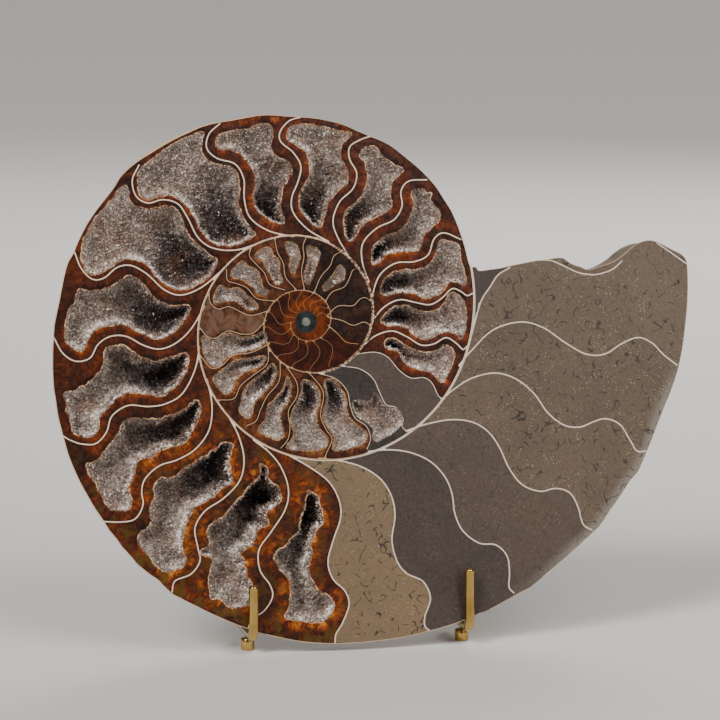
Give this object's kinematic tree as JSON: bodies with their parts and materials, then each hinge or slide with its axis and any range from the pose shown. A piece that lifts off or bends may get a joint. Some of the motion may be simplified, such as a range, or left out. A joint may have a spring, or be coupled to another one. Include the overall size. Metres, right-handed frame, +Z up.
{
  "type": "ammonite fossil half on a display easel",
  "caption": "Polished half of a cut ammonite with crystal-lined chambers and a stone-filled body chamber, leaning on a small brass rod easel.",
  "frame": {"origin": "middle of the model's box in plan, on the surface the easel's feet stand on", "axes": "+Z up, -Y the way the cut face looks, +X to the right of someone who faces the cut"},
  "size_m": [0.171, 0.0838, 0.1387],
  "materials": {
    "fossil_stone": "polished calcite and mudstone",
    "druzy_crystal": "sugary crystal points",
    "easel_brass": "polished"
  },
  "bodies": {
    "root": {"ammonite_half": "fossil_stone", "crystal_crust_01": "druzy_crystal", "crystal_crust_02": "druzy_crystal", "crystal_crust_03": "druzy_crystal", "crystal_crust_04": "druzy_crystal", "crystal_crust_05": "druzy_crystal", "crystal_crust_06": "druzy_crystal", "crystal_crust_07": "druzy_crystal", "crystal_crust_08": "druzy_crystal", "crystal_crust_09": "druzy_crystal", "crystal_crust_10": "druzy_crystal", "crystal_crust_11": "druzy_crystal", "crystal_crust_12": "druzy_crystal", "crystal_crust_13": "druzy_crystal", "crystal_crust_14": "druzy_crystal", "crystal_crust_15": "druzy_crystal", "crystal_crust_16": "druzy_crystal", "crystal_crust_17": "druzy_crystal", "crystal_crust_18": "druzy_crystal", "crystal_crust_19": "druzy_crystal", "crystal_crust_20": "druzy_crystal", "crystal_crust_21": "druzy_crystal", "crystal_crust_22": "druzy_crystal", "crystal_crust_23": "druzy_crystal", "crystal_crust_24": "druzy_crystal", "crystal_crust_25": "druzy_crystal", "crystal_crust_26": "druzy_crystal", "crystal_crust_27": "druzy_crystal", "crystal_crust_28": "druzy_crystal", "hook_left": "easel_brass", "hook_right": "easel_brass", "back_rest_left": "easel_brass", "back_rest_right": "easel_brass", "top_bar": "easel_brass", "rear_leg": "easel_brass", "foot_left": "easel_brass", "foot_right": "easel_brass", "foot_rear": "easel_brass"}
  },
  "joints": []
}
